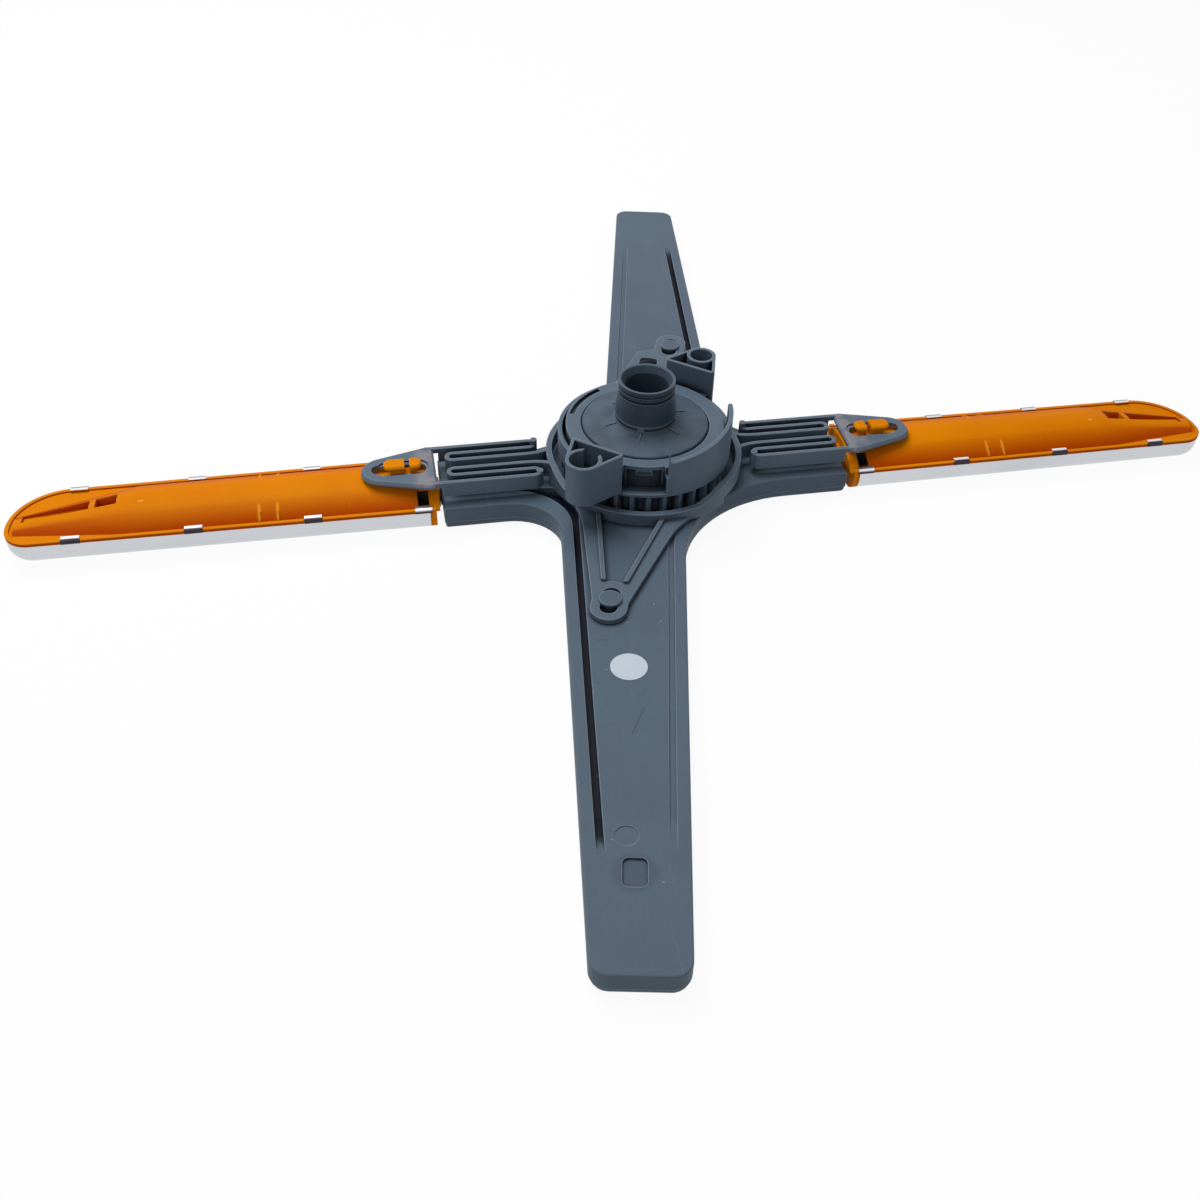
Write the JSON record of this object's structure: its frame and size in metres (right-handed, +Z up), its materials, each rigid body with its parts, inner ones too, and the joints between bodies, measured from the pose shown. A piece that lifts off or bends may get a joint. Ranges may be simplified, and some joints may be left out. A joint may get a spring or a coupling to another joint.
{
  "type": "dishwasher spray arm",
  "caption": "Four-armed dishwasher spray arm: grey hollow cross with an inlet neck, a fixed gear ring, a sliding springy link and two orange side arms in steel covers that rock as it turns.",
  "frame": {"origin": "on the arm's turning axis, at the level of the spray face it lies on", "axes": "+X along the right side arm, +Y towards the rear main arm, +Z up out of the inlet neck"},
  "size_m": [0.5, 0.4786, 0.0536],
  "materials": {
    "grey_plastic": "satin moulded",
    "orange_plastic": "satin moulded",
    "steel_sheet": "bright rolled sheet"
  },
  "bodies": {
    "main_arm": {"spray_housing": "grey_plastic", "lower_housing": "grey_plastic", "arm_holder": "grey_plastic", "left_connector": "grey_plastic", "right_connector": "grey_plastic"},
    "fixed_gear": {"fixed_gear": "grey_plastic"},
    "eccentric_gear": {"eccentric_gear": "grey_plastic"},
    "link": {"link_member": "grey_plastic"},
    "left_arm": {"left_arm_duct": "orange_plastic", "left_nozzle_tray": "orange_plastic", "left_steel_cover": "steel_sheet"},
    "right_arm": {"right_arm_duct": "orange_plastic", "right_nozzle_tray": "orange_plastic", "right_steel_cover": "steel_sheet"}
  },
  "joints": [
    {"name": "gear_turn", "type": "hinge", "parent": "main_arm", "child": "fixed_gear", "pos_m": [0, 0, 0.02], "axis": [0, 0, 1], "continuous": true},
    {"name": "eccentric_turn", "type": "hinge", "parent": "main_arm", "child": "eccentric_gear", "pos_m": [0.01686, 0.04813, 0.0125], "axis": [0, 0, 1], "continuous": true},
    {"name": "link_stroke", "type": "slide", "parent": "main_arm", "child": "link", "axis": [0.3305, 0.9438, 0], "range_m": [-0.0038, 0.0038]},
    {"name": "left_arm_rock", "type": "hinge", "parent": "main_arm", "child": "left_arm", "pos_m": [-0.09, 0, 0.0072], "axis": [1, 0, 0], "range_deg": [-18, 18]},
    {"name": "right_arm_rock", "type": "hinge", "parent": "main_arm", "child": "right_arm", "pos_m": [0.09, 0, 0.0072], "axis": [1, 0, 0], "range_deg": [-18, 18]}
  ],
  "couplings": [
    {"joint": "eccentric_turn", "follows": "gear_turn", "ratio": -1.6842},
    {"joint": "left_arm_rock", "follows": "link_stroke", "rad_per_m": -77.679},
    {"joint": "right_arm_rock", "follows": "link_stroke", "rad_per_m": -77.679}
  ]
}
